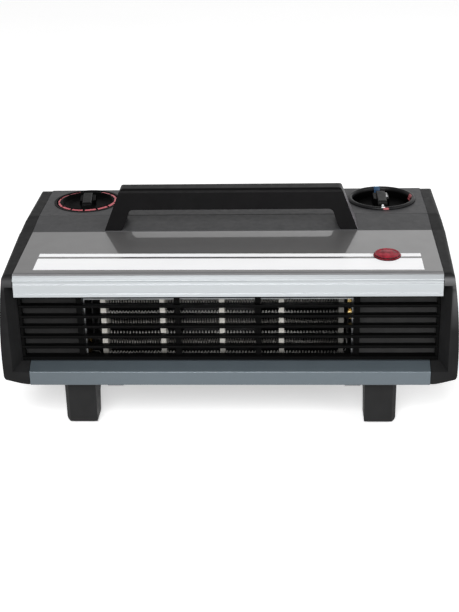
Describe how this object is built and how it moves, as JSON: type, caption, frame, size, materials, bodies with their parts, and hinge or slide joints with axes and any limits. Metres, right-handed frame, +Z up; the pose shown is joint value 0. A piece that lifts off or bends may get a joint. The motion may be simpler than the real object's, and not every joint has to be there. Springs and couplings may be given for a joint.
{
  "type": "fan heater",
  "caption": "Low, wide table-top fan heater with a louvred front outlet, a fixed carrying handle, a thermostat dial, a selector dial and two straight feet.",
  "frame": {"origin": "on the floor, under the middle of the body's width and depth", "axes": "+X to the viewer's right along the width, -Y out of the air outlet at the front, +Z up"},
  "size_m": [0.403, 0.22, 0.1885],
  "materials": {
    "black_shell": "black moulded plastic, semi-gloss",
    "charcoal_shell": "charcoal moulded plastic, satin",
    "silver_panel": "silver-grey lacquer, glossy",
    "bright_trim": "brushed lengthwise, clear anodised",
    "slate_panel": "blue-grey lacquer, glossy",
    "foot_plastic": "dark grey moulded plastic, fine texture",
    "pad_rubber": "black, matte",
    "knob_plastic": "black moulded plastic, semi-gloss",
    "spindle_steel": "turned",
    "sheet_steel": "zinc-plated sheet, dull",
    "core_steel": "stacked laminations, oiled",
    "copper_winding": "enamelled copper wire, varnished",
    "fan_plastic": "black moulded plastic",
    "insulator": "unglazed white steatite",
    "coil_wire": "resistance wire, slightly oxidised",
    "terminal_brass": "pressed brass",
    "lens_red": "translucent red, glossy",
    "lamp_glass": "clear glass bulb",
    "control_phenolic": "brown-black phenolic",
    "screw_steel": "nickel-plated"
  },
  "bodies": {
    "housing": {"left_end_cap": "black_shell", "right_end_cap": "black_shell", "base_pan": "black_shell", "rear_cover": "charcoal_shell", "rear_deck": "charcoal_shell", "top_panel": "silver_panel", "trim_bar": "bright_trim", "front_grille": "black_shell", "lower_panel": "slate_panel", "left_baffle": "charcoal_shell", "right_baffle": "charcoal_shell", "handle": "black_shell", "left_foot": "foot_plastic", "right_foot": "foot_plastic", "foot_pads": "pad_rubber", "front_clips": "black_shell", "left_dial_bowl": "black_shell", "right_dial_bowl": "black_shell", "thermostat": "insulator", "selector_switch": "control_phenolic", "pilot_lens": "lens_red", "neon_lamp": "lamp_glass", "motor_stand": "sheet_steel", "motor_core": "core_steel", "motor_winding": "copper_winding", "left_motor_bracket": "sheet_steel", "right_motor_bracket": "sheet_steel", "left_blower_case": "sheet_steel", "right_blower_case": "sheet_steel", "centre_baffle": "sheet_steel", "duct_frame": "sheet_steel", "insulator_posts": "insulator", "front_heating_coil": "coil_wire", "rear_heating_coil": "coil_wire", "coil_terminals": "terminal_brass", "thermal_cutout": "control_phenolic", "thermal_fuse": "control_phenolic", "terminal_block": "insulator", "cord_grommet": "pad_rubber", "rear_screws": "screw_steel", "foot_screws": "screw_steel"},
    "thermostat_dial": {"thermostat_knob": "knob_plastic", "thermostat_spindle": "spindle_steel"},
    "selector_dial": {"selector_knob": "knob_plastic", "selector_spindle": "spindle_steel"},
    "fan": {"motor_shaft": "spindle_steel", "rotor": "core_steel", "left_impeller": "fan_plastic", "right_impeller": "fan_plastic"}
  },
  "joints": [
    {"name": "thermostat_turn", "type": "hinge", "parent": "housing", "child": "thermostat_dial", "pos_m": [-0.142, 0.062, 0.1498], "axis": [0, 0, 1], "range_deg": [-270, 0]},
    {"name": "selector_turn", "type": "hinge", "parent": "housing", "child": "selector_dial", "pos_m": [0.142, 0.062, 0.1498], "axis": [0, 0, 1], "range_deg": [-180, 90]},
    {"name": "fan_spin", "type": "hinge", "parent": "housing", "child": "fan", "pos_m": [-0.009, 0.032, 0.0973], "axis": [1, 0, 0], "continuous": true}
  ]
}
